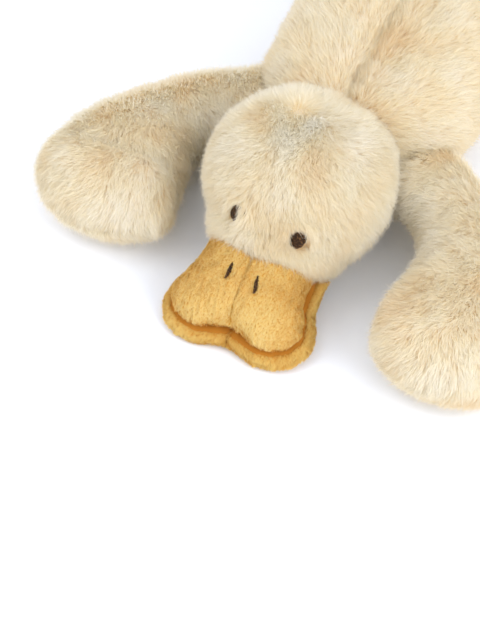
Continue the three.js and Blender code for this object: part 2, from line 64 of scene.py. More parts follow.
# Camera and room
# The photograph looks down on the duck from the front, a little to its own left. The duck lies
# on a plain white floor, in soft daylight from the upper left of the picture.
HEAD_RADIUS = 57.5 * MM
VIEW_TURN = math.radians(27.7)
VIEW_DOWN = math.radians(52)
VIEW_DISTANCE = 1.25
VIEW_TALL = 0.371 # height of the picture where the duck lies
SENSOR = 36
HEAD_MIDDLE = 52 * MM # above the floor
head_low, head_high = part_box("head_skin")
head_centre = Vector((
    (head_low.x + head_high.x) / 2, head_low.y + 0.97 * HEAD_RADIUS, HEAD_MIDDLE))
view_right = Vector((math.cos(VIEW_TURN), math.sin(VIEW_TURN), 0))
view_back = Vector((
    math.sin(VIEW_TURN) * math.cos(VIEW_DOWN),
    -math.cos(VIEW_TURN) * math.cos(VIEW_DOWN),
    math.sin(VIEW_DOWN),
))
view_up = view_back.cross(view_right)
HEAD_RIGHT = 34.8 * MM # of the middle of the picture
HEAD_UP = 81.2 * MM
aim = head_centre - HEAD_RIGHT * view_right - HEAD_UP * view_up

camera = bpy.data.objects.new("camera", bpy.data.cameras.new("camera"))
bpy.context.scene.collection.objects.link(camera)
camera.data.sensor_fit = "VERTICAL"
camera.data.sensor_height = SENSOR
camera.data.lens = SENSOR * VIEW_DISTANCE / VIEW_TALL
camera.matrix_world = Matrix.Translation(aim + VIEW_DISTANCE * view_back) @ Matrix(
    (view_right, view_up, view_back)
).transposed().to_4x4()
bpy.context.scene.camera = camera


def linear(colour):
    """The linear values of an sRGB colour written as a hex number."""
    parts = [((colour >> shift) & 255) / 255 for shift in (16, 8, 0)]
    return [c / 12.92 if c <= 0.04045 else ((c + 0.055) / 1.055) ** 2.4 for c in parts] + [1.0]


def add_node(tree, kind, inputs=None, **settings):
    """A shader node with its settings, and its inputs as values or as sockets to link from."""
    made = tree.nodes.new(kind)
    for name, value in settings.items():
        setattr(made, name, value)
    for name, value in (inputs or {}).items():
        if isinstance(value, bpy.types.NodeSocket):
            tree.links.new(value, made.inputs[name])
        else:
            made.inputs[name].default_value = value
    return made


def new_material(name):
    material = bpy.data.materials.new(name)
    material.use_nodes = True
    material.node_tree.nodes.clear()
    return material, material.node_tree


def add_object(name, mesh):
    made = bpy.data.objects.new(name, mesh)
    bpy.context.scene.collection.objects.link(made)
    return made


def add_lamp(name, place, *, size, power):
    lamp = bpy.data.lights.new(name, "AREA")
    lamp.shape, lamp.size, lamp.energy = "DISK", size, power
    made = add_object(name, lamp)
    made.location = place
    made.rotation_euler = (aim - made.location).to_track_quat("-Z", "Y").to_euler()


sky = bpy.data.worlds.new("daylight")
bpy.context.scene.world = sky
sky.use_nodes = True
sky.node_tree.nodes.clear()
sky_light = add_node(sky.node_tree, "ShaderNodeBackground",
    {"Color": (1, 1, 1, 1), "Strength": 1.0})
add_node(sky.node_tree, "ShaderNodeOutputWorld", {"Surface": sky_light.outputs[0]})

view_ahead = Vector((view_up.x, view_up.y, 0)).normalized()
add_lamp("window", aim - 0.95 * view_right - 0.1 * view_ahead + Vector((0, 0, 1.3)),
    size=1.1, power=5.0)
add_lamp("white card", aim + 0.9 * view_right - 0.8 * view_ahead + Vector((0, 0, 0.9)),
    size=1.0, power=10.5)

FLOOR_HALF = 4
FLOOR_GAP = 0.3 * MM # from Z = 0 down to the paper, and up to the lowest pile
PAPER_LIT = (0.86, 0.86, 0.86, 1)
PAPER_SEEN = (0.95, 1.0, 1.11, 1) # evens out the warm light that the duck throws on it
floor_shape = bmesh.new()
bmesh.ops.create_grid(floor_shape, x_segments=1, y_segments=1, size=FLOOR_HALF)
floor_mesh = bpy.data.meshes.new("floor")
floor_shape.to_mesh(floor_mesh)
floor_shape.free()
floor = add_object("floor", floor_mesh)
floor.location.z = -FLOOR_GAP
floor_paper, tree = new_material("white paper")
path = add_node(tree, "ShaderNodeLightPath")
white = add_node(tree, "ShaderNodeMix", {"Factor": path.outputs["Is Camera Ray"],
    6: PAPER_LIT, 7: PAPER_SEEN}, data_type="RGBA", clamp_result=False)
paper = add_node(tree, "ShaderNodeBsdfDiffuse", {"Color": white.outputs[2]})
add_node(tree, "ShaderNodeOutputMaterial", {"Surface": paper.outputs[0]})
floor.data.materials.append(floor_paper)
bpy.context.scene.view_settings.view_transform = "Standard"


# Body
# A pear of knitted polyester plush, cut in panels and filled with loose fibre through its neck,
# where the head closes it. The cream pile is 8 to 10 mm long, and is brushed back from the neck.
# The seam down the back lies between two full sides, and the pile parts along it.
BODY_PILE_ROOM = 3.5 * MM
PILE_LENGTH = 11.5 * MM
PILE_DENSITY = 4.8e6
TUFT = 2.4 * MM
SEAM_ROOM = 1.2 * MM # what the cover is drawn in beside a seam, where the pile lies flat
SEAM_REACH = 16 * MM
FLOOR_ROOM = 1 * MM
CLOTH_FRAMES = 20
CLOTH_PRESSURE = 4


def node_shape(*names):
    """The CAD nodes' surfaces in one bmesh, with their loose triangles joined."""
    shape = bmesh.new()
    for name in names:
        shape.from_mesh(frame["nodes"][name].data)
    bmesh.ops.remove_doubles(shape, verts=shape.verts, dist=1e-5)
    return shape


def keep_largest(shape):
    """Deletes all but the largest connected shell."""
    left, shells = set(shape.verts), []
    while left:
        grown, edge = set(), [left.pop()]
        while edge:
            vert = edge.pop()
            grown.add(vert)
            for link in vert.link_edges:
                other = link.other_vert(vert)
                if other in left:
                    left.remove(other)
                    edge.append(other)
        shells.append(grown)
    shells.sort(key=len)
    for shell in shells[:-1]:
        bmesh.ops.delete(shape, geom=list(shell), context="VERTS")


def settle(made):
    """Applies the object's modifiers to its mesh."""
    graph = bpy.context.evaluated_depsgraph_get()
    mesh = bpy.data.meshes.new_from_object(made.evaluated_get(graph))
    made.modifiers.clear()
    old, made.data = made.data, mesh
    bpy.data.meshes.remove(old)


def smoothstep(value, low, high):
    share = min(max((value - low) / (high - low), 0), 1)
    return share * share * (3 - 2 * share)


def stuffed_cover(name, nodes, neighbours, *, cell, puff, smoothing=3):
    """One closed surface round a cover and its filling, blown up a little with Cloth."""
    mesh = bpy.data.meshes.new(name)
    shape = node_shape(*nodes)
    shape.to_mesh(mesh)
    shape.free()
    made = add_object(name, mesh)
    remesh = made.modifiers.new("even", "REMESH")
    remesh.mode, remesh.voxel_size = "VOXEL", cell
    settle(made)
    shape = bmesh.new()
    shape.from_mesh(made.data)
    keep_largest(shape)
    for _ in range(smoothing):
        bmesh.ops.smooth_vert(shape, verts=shape.verts, factor=0.5,
            use_axis_x=True, use_axis_y=True, use_axis_z=True)
    shape.to_mesh(made.data)
    shape.free()
    seam = BVHTree.FromBMesh(node_shape(*neighbours))
    start = [v.co.copy() for v in made.data.vertices]
    cloth = made.modifiers.new("filling", "CLOTH")
    cloth.settings.use_pressure = True
    cloth.settings.uniform_pressure_force = CLOTH_PRESSURE
    cloth.settings.effector_weights.gravity = 0
    cloth.point_cache.frame_end = CLOTH_FRAMES
    for step in range(1, CLOTH_FRAMES + 1):
        bpy.context.scene.frame_set(step)
    settle(made)
    bpy.context.scene.frame_set(1)
    for vert, old in zip(made.data.vertices, start):
        move = vert.co - old
        limit = puff * smoothstep(seam.find_nearest(old)[3], 0, SEAM_REACH)
        vert.co = old + move * min(1, limit / max(move.length, 1e-9))
    made.data.update()
    return made, seam


def drawn_in(made, seam, room, near=None):
    """Moves the surface in to leave room for the pile, but less beside a seam to a neighbour."""
    mesh = made.data
    normals = [v.normal.copy() for v in mesh.vertices]
    for vert, normal in zip(mesh.vertices, normals):
        share = smoothstep(seam.find_nearest(vert.co)[3], 0, SEAM_REACH)
        depth = SEAM_ROOM + (room - SEAM_ROOM) * share
        if near:
            depth = near(vert.co, depth)
        vert.co -= depth * normal
        vert.co.z = max(vert.co.z, FLOOR_ROOM)
    mesh.polygons.foreach_set("use_smooth", np.ones(len(mesh.polygons), bool))
    mesh.update()


def groove(made, line, wide, deep, facing=(0, 0, 1)):
    """Sinks a seam or crease into the side of a cover that faces one way.

    line gives each point's distance from the seam."""
    mesh = made.data
    points = np.array([vert.co for vert in mesh.vertices])
    normals = np.array([vert.normal for vert in mesh.vertices])
    sink = deep * np.exp(-(line(points) / wide) ** 2) * (normals @ facing > 0.2)
    mesh.vertices.foreach_set("co", (points - sink[:, None] * normals).ravel())
    mesh.update()


def finished(made, nodes, material):
    """Gives a cover its material, and hides the CAD nodes that it takes the place of."""
    made.data.materials.clear()
    made.data.materials.append(material)
    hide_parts(*nodes)


def triangles(made):
    """The corners of the mesh's triangles, with their smooth normals, and the triangles' areas."""
    mesh = made.data
    mesh.calc_loop_triangles()
    points, normals = np.empty((2, len(mesh.vertices) * 3))
    mesh.vertices.foreach_get("co", points)
    mesh.vertex_normals.foreach_get("vector", normals)
    faces = np.empty(len(mesh.loop_triangles) * 3, np.int32)
    mesh.loop_triangles.foreach_get("vertices", faces)
    faces = faces.reshape(-1, 3)
    points, normals = points.reshape(-1, 3)[faces], normals.reshape(-1, 3)[faces]
    crossed = np.cross(points[:, 1] - points[:, 0], points[:, 2] - points[:, 0])
    area = np.linalg.norm(crossed, axis=1) / 2
    return points, normals, area


def unit(vectors):
    return vectors / np.maximum(np.linalg.norm(vectors, axis=1, keepdims=True), 1e-12)


def scattered(points, normals, area, density, chance):
    """Random places on the surface, with its normals there, at a density for each square metre."""
    count = int(area.sum() * density)
    face = chance.choice(len(area), count, p=area / area.sum())
    a, b = np.sqrt(chance.random(count)), chance.random(count)
    share = np.stack([1 - a, a * (1 - b), a * b], axis=1)[:, :, None]
    return (points[face] * share).sum(1), unit((normals[face] * share).sum(1))


WANDER_GAIN = 1.6 # brings the noise to about -1 to 1


def wander(places, size, seed):
    """A smooth random value from about -1 to 1 at each place."""
    shift = Vector((seed * 3.7, seed * 1.3, seed * 7.9))
    return WANDER_GAIN * np.array([noise.noise(Vector(p) / size + shift) for p in places])


UV_HALF_WIDTH = 0.006 # of a strand's own strip of the map


def strands_mesh(name, spine, width, tone, bloom):
    """Flat strands, pointed at both ends. spine is root, middle and tip, width the half width.

    A strand's bloom, from -1 to 1, is how far its colour leans to that of the roots or the tips."""
    count = len(spine)
    corners = np.stack([spine[:, 0], spine[:, 1] + width, spine[:, 2], spine[:, 1] - width], axis=1)
    mesh = bpy.data.meshes.new(name)
    mesh.vertices.add(count * 4)
    mesh.vertices.foreach_set("co", corners.ravel())
    loops = np.arange(count)[:, None] * 4 + np.array([0, 1, 3, 3, 1, 2])
    mesh.loops.add(count * 6)
    mesh.loops.foreach_set("vertex_index", loops.ravel().astype(np.int32))
    mesh.polygons.add(count * 2)
    mesh.polygons.foreach_set("loop_start", np.arange(0, count * 6, 3, dtype=np.int32))
    mesh.polygons.foreach_set("loop_total", np.full(count * 2, 3, np.int32))
    mesh.polygons.foreach_set("use_smooth", np.ones(count * 2, bool))
    uv = np.empty((count, 6, 2))
    at_root = 0.02 + 0.5 * np.maximum(bloom, 0)
    at_middle = 0.5 + 0.25 * bloom
    at_tip = 0.98 + 0.5 * np.minimum(bloom, 0)
    uv[:, :, 0] = np.stack([at_root] + 4 * [at_middle] + [at_tip], axis=1)
    uv[:, :, 1] = tone[:, None] + np.array([0, 1, -1, -1, 1, 0]) * UV_HALF_WIDTH
    mesh.uv_layers.new(name="OFBake").data.foreach_set("uv", uv.ravel())
    mesh.update()
    return mesh


STRAND_THICK = 0.37 * MM
STRAND_LIFT = (56, 22) # degrees above the cover, at the root and towards the tip
STRAND_ROLL = 13 # degrees
STRANDS_UP = 0.1 # share of the strands that stand up from the rest
STRANDS_FREE = 0.3 # share that doesn't draw together with the tuft
STRAND_SINK = 0.4 * MM # depth of the roots in the cover, for full-length pile
STRAND_STRAY = 0.6 * MM


def pile(name, cover, comb, *, seed, keep=None, bare=(), length=PILE_LENGTH, density=PILE_DENSITY,
        tuft=TUFT, thick=STRAND_THICK, lift=STRAND_LIFT, sway=0.45, draw=0.32, bloom=None,
        grain=None, fibre=None, slot="cream_plush"):
    """Brushed pile on a cover: strands that lean along the comb and draw together into tufts.

    Where the grain is above 0 they stand up and are paler, and where it is below 0 they lie flat.
    The bare places are ellipses over stitches, which strands stop short of."""
    chance = np.random.default_rng(seed)
    shape = triangles(cover)
    tuft_at, _ = scattered(*shape, 6 / tuft ** 2, chance)
    _, first = np.unique(np.floor(tuft_at / tuft).astype(np.int64), axis=0, return_index=True)
    tuft_at = tuft_at[first]
    root, normal = scattered(*shape, density, chance)
    shown = chance.random(len(root)) < np.clip(0.75 + 0.9 * normal[:, 2], 0.3, 1)
    if keep is not None:
        shown &= keep(root)
    root, normal = root[shown], normal[shown]
    tree = KDTree(len(tuft_at))
    for i, place in enumerate(tuft_at):
        tree.insert(place, i)
    tree.balance()
    own = np.array([tree.find(p)[1] for p in root])
    tuft_sway, tuft_rise = 0.17 * chance.normal(size=(2, len(tuft_at), 1))
    size = length / PILE_LENGTH

    way = comb(root, normal)
    way = unit(way - (way * normal).sum(1)[:, None] * normal)
    turn = sway * wander(root, 12 * size * MM, seed)[:, None] + 0.7 * tuft_sway[own]
    turn += 0.26 * chance.normal(size=(len(root), 1))
    way = unit(way + turn * np.cross(normal, way))
    rise = 1 + 0.2 * wander(root, 12 * size * MM, seed + 1)[:, None] + 0.4 * tuft_rise[own]
    raised = grain(root) if grain else np.zeros(len(root))
    rise += 0.4 * raised[:, None]
    stand = np.where(chance.random((len(root), 1)) < STRANDS_UP, 0.45, 0)
    low = np.radians(lift[0]) * rise + 0.4 * stand
    high = np.radians(lift[1]) * rise + stand + 0.22 * chance.normal(size=(len(root), 1))
    reach = length * chance.uniform(0.7, 1.05, (len(root), 1))
    steps = [0.5 * reach * (np.cos(a) * way + np.sin(a) * normal) for a in (low, high)]

    offset = root - tuft_at[own]
    stray = chance.normal(size=(len(root), 3)) * size * STRAND_STRAY
    draw = np.where(chance.random((len(root), 1)) < STRANDS_FREE, 0, draw)
    spine = np.stack([
        root - size * STRAND_SINK * normal,
        root + steps[0] - 0.4 * draw * offset + 0.4 * stray,
        root + steps[0] + steps[1] - draw * offset + stray,
    ], axis=1)
    lowest = FLOOR_GAP + 0.8 * MM * chance.random((len(root), 2))
    spine[:, 1:, 2] = np.maximum(spine[:, 1:, 2], lowest)
    run = unit(spine[:, 2] - spine[:, 0])
    flat = unit(np.cross(run, normal))
    roll = np.radians(STRAND_ROLL * chance.normal(size=(len(root), 1)))
    width = thick / 2 * (np.cos(roll) * flat + np.sin(roll) * np.cross(run, flat))
    tone = 0.55 + 0.28 * wander(root, 24 * MM, seed + 3) + 0.3 * tuft_rise[own, 0] + 0.4 * raised
    tone = np.clip(tone + 0.08 * chance.normal(size=len(root)), 0.03, 0.97)
    lean = 0.12 * chance.normal(size=len(root))
    lean = np.clip(lean + (bloom(root) if bloom else 0), -1, 1)

    clear = np.ones(len(root), bool)
    for centre, along, across, outward, half_long, half_wide in bare:
        away = spine - centre
        gap = np.hypot(away @ along / half_long, away @ across / half_wide)
        edge = 1 - 0.12 * np.abs(chance.normal(size=len(root)))
        close = np.abs(away[:, 0] @ outward) < 12 * MM
        clear &= ~(close & ((gap[:, 1] < edge) | (gap[:, 0] < edge)))
        back = np.clip((gap[:, 1] - edge) / np.maximum(gap[:, 1] - gap[:, 2], 1e-6), 0.1, 1)
        back = np.where(close & (gap[:, 2] < edge), back, 1)[:, None]
        spine[:, 2] = spine[:, 1] + back * (spine[:, 2] - spine[:, 1])
    made = add_object(name, strands_mesh(name, spine[clear], width[clear], tone[clear], lean[clear]))
    made.data.materials.append(fibre or pile_fibre)
    return made


def ramp(tree, factor, *stops):
    made = add_node(tree, "ShaderNodeValToRGB", {"Fac": factor})
    while len(made.color_ramp.elements) < len(stops):
        made.color_ramp.elements.new(0.5)
    for element, (place, colour) in zip(made.color_ramp.elements, stops):
        element.position, element.color = place, linear(colour)
    return made.outputs["Color"]


def fibre_material(name, depths, tints, *, rough, shine, see_through):
    """Fibre whose colour changes along each strand, by a tint that is the strand's own."""
    material, tree = new_material(name)
    strand = add_node(tree, "ShaderNodeUVMap", uv_map="OFBake")
    along = add_node(tree, "ShaderNodeSeparateXYZ", {0: strand.outputs[0]})
    depth = ramp(tree, along.outputs["X"], *depths)
    tint = ramp(tree, along.outputs["Y"], *tints)
    colour = add_node(tree, "ShaderNodeMix", {"Factor": 1.0, 6: depth, 7: tint},
        data_type="RGBA", blend_type="MULTIPLY").outputs[2]
    fibre = add_node(tree, "ShaderNodeBsdfPrincipled",
        {"Base Color": colour, "Roughness": rough, "Specular IOR Level": shine})
    through = add_node(tree, "ShaderNodeBsdfTranslucent", {"Color": colour})
    both = add_node(tree, "ShaderNodeMixShader",
        {"Fac": see_through, 1: fibre.outputs[0], 2: through.outputs[0]})
    add_node(tree, "ShaderNodeOutputMaterial", {"Surface": both.outputs[0]})
    return material


# Brushed polyester pile is pale, dull and more than half see-through, and warmer at the roots.
# The warmer roots are a painted warm shade for the gaps between the tufts.
pile_fibre = fibre_material("brushed polyester pile",
    [(0, 0xFFE8C0), (0.5, 0xFFFBF0), (1, 0xFFFFFF)],
    [(0, 0xFCF4E4), (0.5, 0xFEFCF5), (1, 0xFFFFFF)],
    rough=0.75, shine=0.25, see_through=0.68)

# The knitted backing shows only where the pile parts, as a warm shade.
backing_knit, tree = new_material("knitted polyester backing")
place = add_node(tree, "ShaderNodeTexCoord")
stitches = add_node(tree, "ShaderNodeTexNoise", {"Vector": place.outputs["Object"], "Scale": 900.0})
knit_colour = ramp(tree, stitches.outputs[0], (0.3, 0xF6EAD2), (0.7, 0xFBF3E4))
knit = add_node(tree, "ShaderNodeBsdfPrincipled", {"Base Color": knit_colour, "Roughness": 0.95,
    "Specular IOR Level": 0.1})
add_node(tree, "ShaderNodeOutputMaterial", {"Surface": knit.outputs[0]})

body_nodes = ["body_skin", "body_filling"]
body_cover, seam = stuffed_cover("body_cover", body_nodes,
    ["head_skin", "wing_left_skin", "wing_right_skin", "leg_left_skin", "leg_right_skin", "tail_skin"],
    cell=5 * MM, puff=3 * MM)
drawn_in(body_cover, seam, BODY_PILE_ROOM)
body_low, body_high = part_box("body_skin")
back_seam = (body_low.x + body_high.x) / 2
BACK_SEAM_WIDE = 6 * MM
BACK_SEAM_DEEP = 8 * MM
UPPER_PILE_LOW = 40 * MM # height where the upper half of the pile begins
groove(body_cover, lambda at: at[:, 0] - back_seam, BACK_SEAM_WIDE, BACK_SEAM_DEEP)
finished(body_cover, body_nodes, backing_knit)
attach(body_cover, "body")


def body_comb(places, normals):
    """Back from the neck, and down to each side from the seam along the back."""
    out = places[:, 0] - back_seam
    side = np.tanh(out / (10 * MM)) * (0.6 + 0.8 * np.exp(-(out / (16 * MM)) ** 2))
    return np.stack([side, np.full(len(side), 0.9), np.full(len(side), -0.3)], axis=1)


def seam_painted_shade(places):
    """Warmer than the other pieces, and most along the back seam, where the pile parts: painted shade
    there.
    """
    return -0.3 - 0.3 * np.exp(-((places[:, 0] - back_seam) / BACK_SEAM_WIDE) ** 2)


for side, sign in (("left", 1), ("right", -1)):
    for part, upper in (("upper", True), ("under", False)):
        made = pile(f"body_pile_{side}_{part}", body_cover, body_comb,
            seed=11 + sign + 4 * upper, sway=0.6, bloom=seam_painted_shade,
            keep=lambda at: (sign * (at[:, 0] - back_seam) > 0)
            & ((at[:, 2] > UPPER_PILE_LOW) == upper))
        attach(made, "body")

# Head
# A ball of the same plush in panels that meet on the crown, closed over the neck of the body. The
# pile is brushed down all round from the crown and parts down the middle of the face, and two
# pale ridges of it run forwards from the crown and meet.
HEAD_PILE_ROOM = 6.5 * MM
CROWN_ASIDE = -7 * MM
CROWN_BACK = 11 * MM
CREST_WIDE = 6 * MM
DIMPLE_WIDE = 4.5 * MM
DIMPLE_DEEP = 2 * MM
EYE_REACH = 8 * MM
EYE_ROOM = 2.5 * MM
head_nodes = ["head_skin", "head_filling"]
head_cover, seam = stuffed_cover("head_cover", head_nodes,
    ["body_skin", "bill_upper_skin", "bill_lower_skin"], cell=4.5 * MM, puff=2 * MM)


def patch_frame(node):
    """A stitched patch's middle, its ways along, across and out, and its three sizes."""
    corners = np.array([v.co for v in frame["nodes"][node].data.vertices])
    middle = (corners.max(0) + corners.min(0)) / 2
    away = corners - corners.mean(0)
    ways = np.linalg.eigh(away.T @ away)[1].T[::-1]
    facing = np.array([0, 0, 1]) if node.startswith("nostril") else middle - np.array(head_centre)
    out = np.argmax(np.abs(ways @ facing))
    along, across = np.delete(ways, out, axis=0)
    outward = ways[out] * np.sign(ways[out] @ facing)
    return middle, along, across, outward, [np.ptp(away @ way) for way in (along, across, outward)]


eyes = {side: patch_frame(f"eye_{side}") for side in ("left", "right")}


def eye_room(at, depth):
    """The cover comes out to the back of each eye."""
    gap = min((at - Vector(eye[0])).length for eye in eyes.values())
    return EYE_ROOM + (depth - EYE_ROOM) * smoothstep(gap, 0.5 * EYE_REACH, 1.6 * EYE_REACH)


drawn_in(head_cover, seam, HEAD_PILE_ROOM, eye_room)
crown = np.array([head_centre.x + CROWN_ASIDE, head_centre.y + CROWN_BACK, head_high.z - 3 * MM])
for dimple in (crown[:2] + [3 * MM, -4 * MM], crown[:2] + [0, -17 * MM]):
    groove(head_cover, lambda at: np.linalg.norm(at[:, :2] - dimple, axis=1),
        DIMPLE_WIDE, DIMPLE_DEEP)
crest_starts = [crown[:2] + [-11 * MM, -7 * MM], crown[:2] + [14 * MM, -8 * MM]]
crest_end = crown[:2] + [10 * MM, -34 * MM]
finished(head_cover, head_nodes, backing_knit)


def from_line(places, a, b):
    """Each place's distance, seen from above, from the line from a to b."""
    away, along = places[:, :2] - a, b - a
    share = np.clip(away @ along / (along @ along), 0, 1)
    return np.linalg.norm(away - share[:, None] * along, axis=1)


def in_crest(places, start):
    return np.exp(-(from_line(places, start, crest_end) / CREST_WIDE) ** 2)


def near_to(places, spot, size):
    return np.exp(-((places - spot) ** 2).sum(1) / size ** 2)


def head_comb(places, normals):
    """Down from the crown all round, but along the two pale ridges that meet in front of it."""
    off = places - crown
    tousled = 0.7 * near_to(places, crown, 5 * MM)[:, None]
    way = unit(off) + tousled * np.random.default_rng(5).normal(size=off.shape)
    face = np.clip(-(places[:, 1] - head_centre.y) / HEAD_RADIUS, 0, 1)
    way[:, 0] += 0.5 * face * np.tanh(off[:, 0] / (6 * MM))
    for start in crest_starts:
        share = in_crest(places, start)[:, None]
        way = (1 - 0.7 * share) * way + share * np.append(crest_end - start, 0) / (25 * MM)
    return way


def head_grain(places):
    """Flatter on the crown, but for the two ridges, which stand up."""
    ridges = np.max([in_crest(places, start) for start in crest_starts], axis=0)
    return 0.6 * ridges - 0.4 * near_to(places, crown - [0, 12 * MM, 0], 28 * MM)


def head_bloom(places):
    """Paler on the crown and its ridges, and warmer between the eyes."""
    ridges = np.max([in_crest(places, start) for start in crest_starts], axis=0)
    brow = np.mean([eye[0] for eye in eyes.values()], axis=0) + [0, 0, 8 * MM]
    pale = near_to(places, crown - [0, 4 * MM, 0], 30 * MM)
    return 0.5 * ridges + 0.6 * pale - 0.45 * near_to(places, brow, 16 * MM)


joints = {joint["name"]: joint for joint in frame["joints"]}


def bend(made):
    """Bakes the piece's transform into its mesh."""
    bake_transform(made)


bend(head_cover)
# Each eye's opening in the pile: how far it lies aside, its half length and its half width. The
# pile covers half of the right eye.
EYE_OPENINGS = {"left": (0.8 * MM, 6.9 * MM, 5.3 * MM), "right": (-1.3 * MM, 6 * MM, 2.9 * MM)}
EYE_OPENING_UP = 0.8 * MM
eye_spots = []
for side, (middle, along, across, outward, _) in eyes.items():
    aside, half_long, half_wide = EYE_OPENINGS[side]
    uphill = EYE_OPENING_UP * np.sign(along[2]) * along
    eye_spots.append((middle + uphill + [aside, 0, 0], along, across, outward, half_long, half_wide))
for side, sign in (("left", 1), ("right", -1)):
    made = pile(f"head_pile_{side}", head_cover, head_comb, seed=21 + sign, bare=eye_spots,
        length=10.5 * MM, density=6.6e6, thick=0.31 * MM, lift=(60, 27),
        bloom=head_bloom, grain=head_grain,
        keep=lambda at: sign * (at[:, 0] - head_centre.x) > 0)
    bend(made)
bill_root = BVHTree.FromBMesh(node_shape("bill_upper_skin", "bill_lower_skin"))


def far_from(tree, at, gap):
    return np.array([tree.find_nearest(Vector(p))[3] > gap for p in at])


# Longer, pointed tufts fall over the root of the bill.
FRINGE_REACH = 7 * MM # from the bill
FRINGE_LOW = 20 * MM # above the floor
made = pile("head_fringe", head_cover, head_comb, seed=27,
    length=14 * MM, density=3e6, tuft=3.6 * MM, draw=0.8, lift=(40, 8),
    keep=lambda at: ~far_from(bill_root, at, FRINGE_REACH) & (at[:, 2] > FRINGE_LOW))
bend(made)

# Eyes
# Both are satin-stitched in dark brown rayon through the plush, so they lie in small hollows of
# the pile, and some of it falls over their edges.
THREAD = 0.42 * MM
THREAD_PITCH = 0.85 # of a thread's own thickness
THREAD_POINTS = 7
thread, tree = new_material("rayon embroidery thread")
place = add_node(tree, "ShaderNodeTexCoord")
# The thread is dark brown; the noise's light brown flecks are a painted sheen on the rayon.
plies_and_sheen = add_node(tree, "ShaderNodeTexNoise", {"Vector": place.outputs["Object"], "Scale": 1400.0})
thread_and_sheen_colour = ramp(tree, plies_and_sheen.outputs[0], (0.45, 0x20120A), (0.55, 0x38230F), (0.63, 0x8A6440))
thread_cloth = add_node(tree, "ShaderNodeBsdfPrincipled",
    {"Base Color": thread_and_sheen_colour, "Roughness": 0.55, "Specular IOR Level": 0.2})
add_node(tree, "ShaderNodeOutputMaterial", {"Surface": thread_cloth.outputs[0]})


def satin(name, node, seed, *, slant, crown, proud, spread=1, blunt=2, thick=THREAD,
        uneven=0.12 * MM):
    """Rows of thread side by side across a patch, each one bowed over it from edge to edge.

    The larger blunt is, the squarer are the patch's ends."""
    middle, along, across, outward, sizes = patch_frame(node)
    chance = np.random.default_rng(seed)
    curve = bpy.data.curves.new(name, "CURVE")
    curve.dimensions, curve.bevel_depth, curve.bevel_resolution = "3D", thick / 2, 1
    half_long, half_wide = spread * sizes[0] / 2, spread * sizes[1] / 2
    for row in np.arange(-half_long, half_long, THREAD_PITCH * thick):
        edge = half_wide * math.sqrt(max(1 - abs(row / half_long) ** blunt, 0.04))
        ends = np.array([-1, 1]) * edge + chance.normal(size=2) * uneven
        shift, bump = chance.normal(size=2) * (0.6 * uneven, 0.4 * uneven)
        steps = np.linspace(0, 1, THREAD_POINTS)
        spline = curve.splines.new("POLY")
        spline.points.add(len(steps) - 1)
        for point, t in zip(spline.points, steps):
            x = ends[0] + (ends[1] - ends[0]) * t
            bow = math.sqrt(max(1 - (2 * t - 1) ** 2, 0))
            fall = 1 - (row / half_long) ** 2
            up = proud + (crown * (0.35 + 0.65 * fall) + bump) * bow
            co = middle + (row + shift + slant * x) * along + x * across + up * outward
            point.co = (*co, 1)
        spline.use_smooth = True
    wire = add_object(f"{name}_curve", curve)
    mesh = bpy.data.meshes.new_from_object(wire.evaluated_get(bpy.context.evaluated_depsgraph_get()))
    bpy.data.objects.remove(wire)
    made = add_object(name, mesh)
    made.data.materials.clear()
    made.data.materials.append(thread)
    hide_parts(node)
    return made


for i, side in enumerate(("left", "right")):
    made = satin(f"eye_{side}_stitches", f"eye_{side}", 61 + i, slant=0.25, crown=1.4 * MM,
        proud=0.8 * MM, spread=1.1)
    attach(made, "head")

# Wings
# Each wing is a two-panel arm of the same plush that widens into a full, rounded tip. It is sewn
# to the shoulder, and its pile is brushed forwards over the arm and fans out on the tip.
WING_PILE_ROOM = 4 * MM
CREASE_WIDE = 4 * MM
CREASE_DEEP = 2.5 * MM
RIGHT_CORNER = Vector((-72 * MM, -146 * MM, 20 * MM))
CORNER_WIDE = 20 * MM
CORNER_PUSH = Vector((6 * MM, -2 * MM, 0))
WHIRL_OUT = {"left": 111 * MM, "right": -98 * MM}
WHIRL_FORWARD = -162 * MM
creases = {
    "left": [(0.040, -0.062), (0.045, -0.044), (0.051, -0.032)],
    "right": [(-0.139, -0.127), (-0.112, -0.128), (-0.085, -0.121)],
}
for side, sign in (("left", 1), ("right", -1)):
    nodes = [f"wing_{side}_skin", f"wing_{side}_filling"]
    cover, seam = stuffed_cover(f"wing_{side}_cover", nodes, ["body_skin", "head_skin"],
        cell=5 * MM, puff=3 * MM)
    drawn_in(cover, seam, WING_PILE_ROOM)
    if side == "right":
        for vert in cover.data.vertices:
            near = math.exp(-((vert.co - RIGHT_CORNER).length / CORNER_WIDE) ** 2)
            vert.co += near * CORNER_PUSH
    for a, b in zip(creases[side], creases[side][1:]):
        groove(cover, lambda at: from_line(at, np.array(a), np.array(b)), CREASE_WIDE, CREASE_DEEP)
    finished(cover, nodes, backing_knit)
    bend(cover)
    whirl = np.array([WHIRL_OUT[side], WHIRL_FORWARD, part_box(nodes[0])[1].z])

    def wing_comb(places, normals):
        """Forwards over the arm, spreading to both sides on the tip, with a tousled place there."""
        off = places - whirl
        gap = (off ** 2).sum(1)[:, None]
        near, off = np.exp(-gap / (16 * MM) ** 2), off * [1, 0, 0] / (30 * MM)
        on_tip = np.exp(-gap / (55 * MM) ** 2)
        way = np.array([-0.7 * sign, -0.6, -0.2]) + on_tip * (off + [0.7 * sign, -0.2, 0])
        return way + 0.7 * near * (sign * np.cross(normals, unit(places - whirl)))

    made = pile(f"wing_{side}_pile", cover, wing_comb, seed=31 + sign, sway=0.6, lift=(45, 16))
    bend(made)

